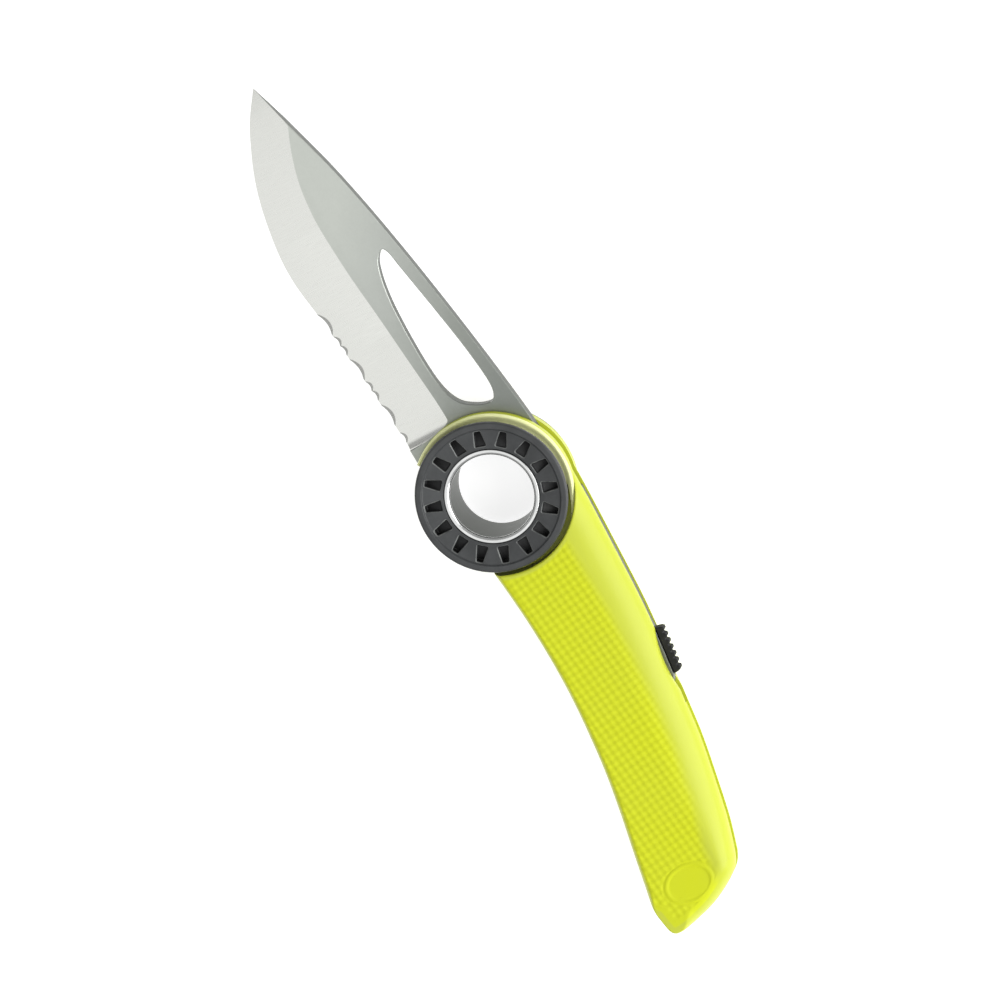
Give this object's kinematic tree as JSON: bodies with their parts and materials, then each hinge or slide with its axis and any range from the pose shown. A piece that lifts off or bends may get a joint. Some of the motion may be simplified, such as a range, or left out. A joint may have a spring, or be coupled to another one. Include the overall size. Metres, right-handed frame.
{
  "type": "rigging knife",
  "caption": "Folding rigging knife with a hollow pivot for a carabiner, thumb wheels round it, a part-serrated blade with a long window, and a spine lock.",
  "frame": {"origin": "centre of the open knife's box, on the plane it lies on", "axes": "+X along the open blade to its tip, +Y to the side of the cutting edge, +Z through the thickness, away from the face it lies on"},
  "size_m": [0.1826, 0.031, 0.014],
  "materials": {
    "shell_nylon": "lime-yellow moulded nylon with a fine grid of bumps",
    "wheel_nylon": "black satin moulded nylon",
    "pad_rubber": "black ribbed rubber",
    "blade_steel": "bead-blasted flats and a satin ground bevel",
    "polished_steel": "polished stainless steel",
    "plain_steel": "plain stainless steel",
    "bronze": "phosphor bronze",
    "brass": "turned brass"
  },
  "bodies": {
    "handle": {"front_shell": "shell_nylon", "rear_shell": "shell_nylon", "back_spacer": "shell_nylon", "spacer_pin_1": "plain_steel", "spacer_pin_2": "plain_steel", "spacer_pin_3": "plain_steel", "butt_screw": "plain_steel", "butt_insert": "brass", "lever_pin": "plain_steel", "lock_spring": "plain_steel", "front_washer": "bronze", "rear_washer": "bronze"},
    "blade_and_wheels": {"blade": "blade_steel", "pivot_tube": "polished_steel", "tube_collar": "polished_steel", "front_wheel": "wheel_nylon", "rear_wheel": "wheel_nylon", "drive_pin_1": "plain_steel", "drive_pin_2": "plain_steel", "drive_pin_3": "plain_steel", "drive_pin_4": "plain_steel"},
    "lever": {"lock_lever": "plain_steel", "thumb_pad": "pad_rubber", "pad_rivet_1": "plain_steel", "pad_rivet_2": "plain_steel"}
  },
  "joints": [
    {"name": "blade_fold", "type": "hinge", "parent": "handle", "child": "blade_and_wheels", "pos_m": [0.00115, 0.00021, 0.007], "axis": [0, 0, 1], "range_deg": [0, 174]},
    {"name": "lever_rock", "type": "hinge", "parent": "handle", "child": "lever", "pos_m": [-0.03285, -0.01069, 0.007], "axis": [0, 0, 1], "range_deg": [0, 4.4], "stiffness_Nm_per_rad": 0.5, "springref_deg": 11.46}
  ]
}
